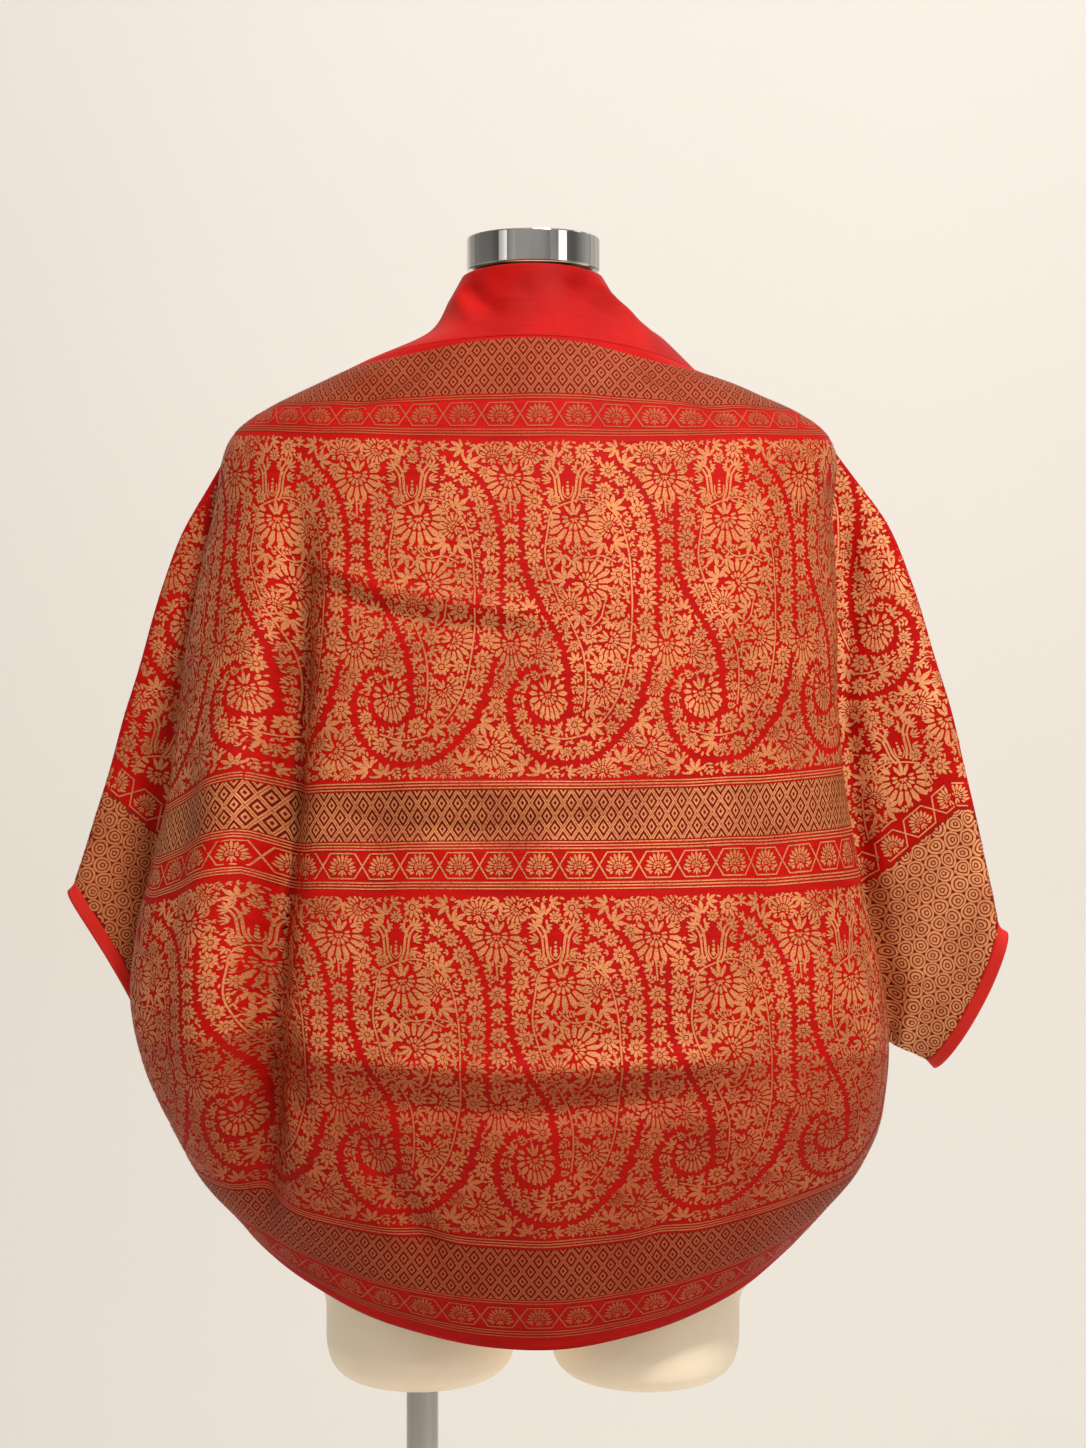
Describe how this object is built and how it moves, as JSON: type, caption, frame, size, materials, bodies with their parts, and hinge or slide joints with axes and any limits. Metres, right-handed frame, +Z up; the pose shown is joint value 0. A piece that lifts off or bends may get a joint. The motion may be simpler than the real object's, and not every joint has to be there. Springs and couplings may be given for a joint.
{
  "type": "cocoon shrug on dress form",
  "caption": "Open-front cocoon shrug in red brocade with a plain stand-up collar and wide sleeves, worn by a limbless dress form on a steel pole and round base.",
  "frame": {"origin": "centre of the base plate's underside", "axes": "+Z up along the pole; the garment's back faces -Y and its open front +Y; the wearer's left sleeve is on -X"},
  "size_m": [0.8027, 0.4271, 1.6],
  "materials": {
    "brocade": "red silk ground with woven gold figures, soft metallic sheen",
    "collar_silk": "thin plain red silk, slightly see-through",
    "cuff_silk": "plain red silk band",
    "form_shell": "smooth cream, satin",
    "cap_steel": "polished with a fine vertical brushing",
    "pole_steel": "brushed",
    "base_steel": "brushed"
  },
  "bodies": {
    "root": {"body_panel": "brocade", "sleeve_left": "brocade", "sleeve_right": "brocade", "collar": "collar_silk", "cuff_left": "cuff_silk", "cuff_right": "cuff_silk", "form_body": "form_shell", "neck_cap": "cap_steel", "pole": "pole_steel", "base_plate": "base_steel"}
  },
  "joints": []
}
